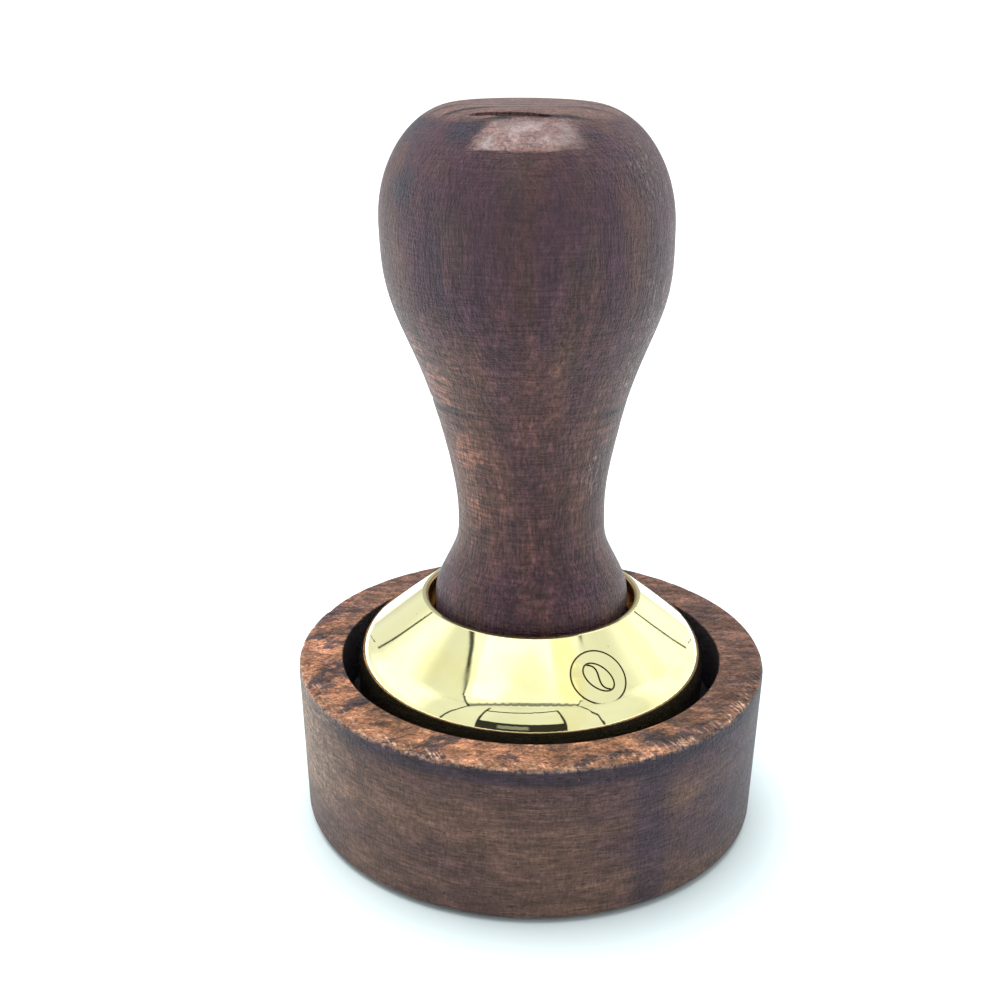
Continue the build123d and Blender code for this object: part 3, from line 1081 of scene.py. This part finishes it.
posts = line(azimuth + 57.8 - 0.19 * elevation, FRONT_POST) * elevation.slope(46, 43)
posts = posts + line(azimuth - 45.0 + 0.06 * elevation, FRONT_POST) * elevation.slope(56, 53)
posts = posts + line(azimuth + 148.5 - 0.66 * elevation, BACK_POST) * elevation.slope(32, 28)
posts = posts + line(azimuth - 146.0 + 0.60 * elevation, BACK_POST) * elevation.slope(32, 28)
slot = within(azimuth, -33, 20, 1.0) * within(elevation, -3, 18, 1.5)
lens = within(azimuth, -20, -3, 2.0) * within(elevation, 5, 12, 1.5)
flap_top = 47.6 + 0.13 * azimuth
flap_sides = (line(azimuth + 34, FLAP_LINE) + line(azimuth - 21, FLAP_LINE)) * within(elevation, -5, 50, 2)
flap = flap_sides + line(elevation - flap_top, 1.6) * within(azimuth, -34, 21, 1)
dark = seams + posts + slot * (1 - 0.3 * lens) + flap
dark = dark.sum("MINIMUM", dark, 1.0)

# %% Brightness and tint
TENT_WHITE = (0.97, 0.985, 1.0)
TENT_WARM = (1.0, 0.90, 0.52)
PLAIN_BRIGHTNESS = 1.2

bright_strip = within(ceiling_y, -0.24, -0.10, 0.03) * within(ceiling_x, -0.45, 0.17, 0.05)
glow_left = within(azimuth, -120, -84, 18) * within(elevation, 10, 36, 14)
glow_right = within(azimuth, 92, 142, 18) * within(elevation, 4, 36, 14)
back_wall = abs(azimuth).slope(148, 165) * elevation.slope(60, 45)
brightness = 0.95 + 0.28 * ceiling + 0.5 * bright_strip + 0.7 * glow_left + 0.5 * glow_right
creases = 0.84 + 0.30 * direction.stretched(1, 1, 0.6).cloud(0.45, 3.0, 0.55)
brightness = brightness * creases * (1 - 0.45 * back_wall) * (1 - 0.96 * dark)
camera_ray = direction.node("ShaderNodeLightPath", output="Is Camera Ray")
brightness = brightness * (1 - camera_ray) + PLAIN_BRIGHTNESS * camera_ray
warm_ceiling = within(ceiling_x, 0.26, 0.40, 0.08) * within(ceiling_y, -0.24, -0.16, 0.04) * overhead
warm_wall = within(azimuth, 112, 123, 5) * within(elevation, 32, 38, 4)
warm = 0.45 * warm_ceiling + 0.4 * warm_wall
tint = direction.layered(TENT_WHITE, (warm * (1 - camera_ray), TENT_WARM))
background = direction.node("ShaderNodeBackground", None, {"Color": tint, "Strength": brightness})
background.node("ShaderNodeOutputWorld", None, {"Surface": background}, None)
print("the tent's shader has", len(world.node_tree.nodes), "nodes")

# %% The table
TABLE_RADIUS = 3.0
TABLE_NEAR = (0.73, 0.83, 0.845)
TABLE_MOTTLE = (0.74, 0.83, 0.84)
TABLE_FAR = (0.9, 0.9, 0.9)

bpy.ops.object.select_all(action="DESELECT")
bpy.ops.mesh.primitive_circle_add(vertices=96, radius=TABLE_RADIUS, fill_type="NGON")
floor = bpy.context.object
floor.name = "pale_table"


def table_white(mm):
    # painted light: away from the stand the table turns lighter and glows, standing in for even light; its
    # cyan tint near the stand shows mainly in the shadow
    far_painted_light = mm.reach().slope(90, 330)
    mottle = mm.cloud(60.0, 2.0) * 0.3
    colour = mm.layered(TABLE_NEAR, (mottle, TABLE_MOTTLE), (far_painted_light, TABLE_FAR))
    glow = mm.layered((0, 0, 0), (far_painted_light, (1, 1, 1)))
    roughness = 0.6 + 0.1 * mm.cloud(20.0)
    return mm.surface(
        colour, roughness, mm.cloud(1.0), 0.001, Emission_Color=glow, Emission_Strength=0.25
    )


floor.data.materials.append(new_finish("table_finish", table_white))

# %% [markdown]
# One broad lamp behind and above gives the soft shadow in front of the stand.  The
# brass must not mirror it, so it is hidden from glossy rays.

# %% The key light
KEY_AT = Vector((-0.10, 0.16, 0.75))
KEY_AIM = Vector((0, 0, 0.05))
KEY_WIDTH = 0.8
KEY_WATTS = 9.0

bpy.ops.object.light_add(type="AREA", location=KEY_AT)
key = bpy.context.object
key.data.size = KEY_WIDTH
key.data.energy = KEY_WATTS
key.visible_glossy = False
key.rotation_euler = (KEY_AIM - key.location).to_track_quat("-Z", "Y").to_euler()
bpy.context.scene.view_settings.view_transform = "Standard"
print("key light", round((KEY_AIM - KEY_AT).length, 2), "m from the tamper")
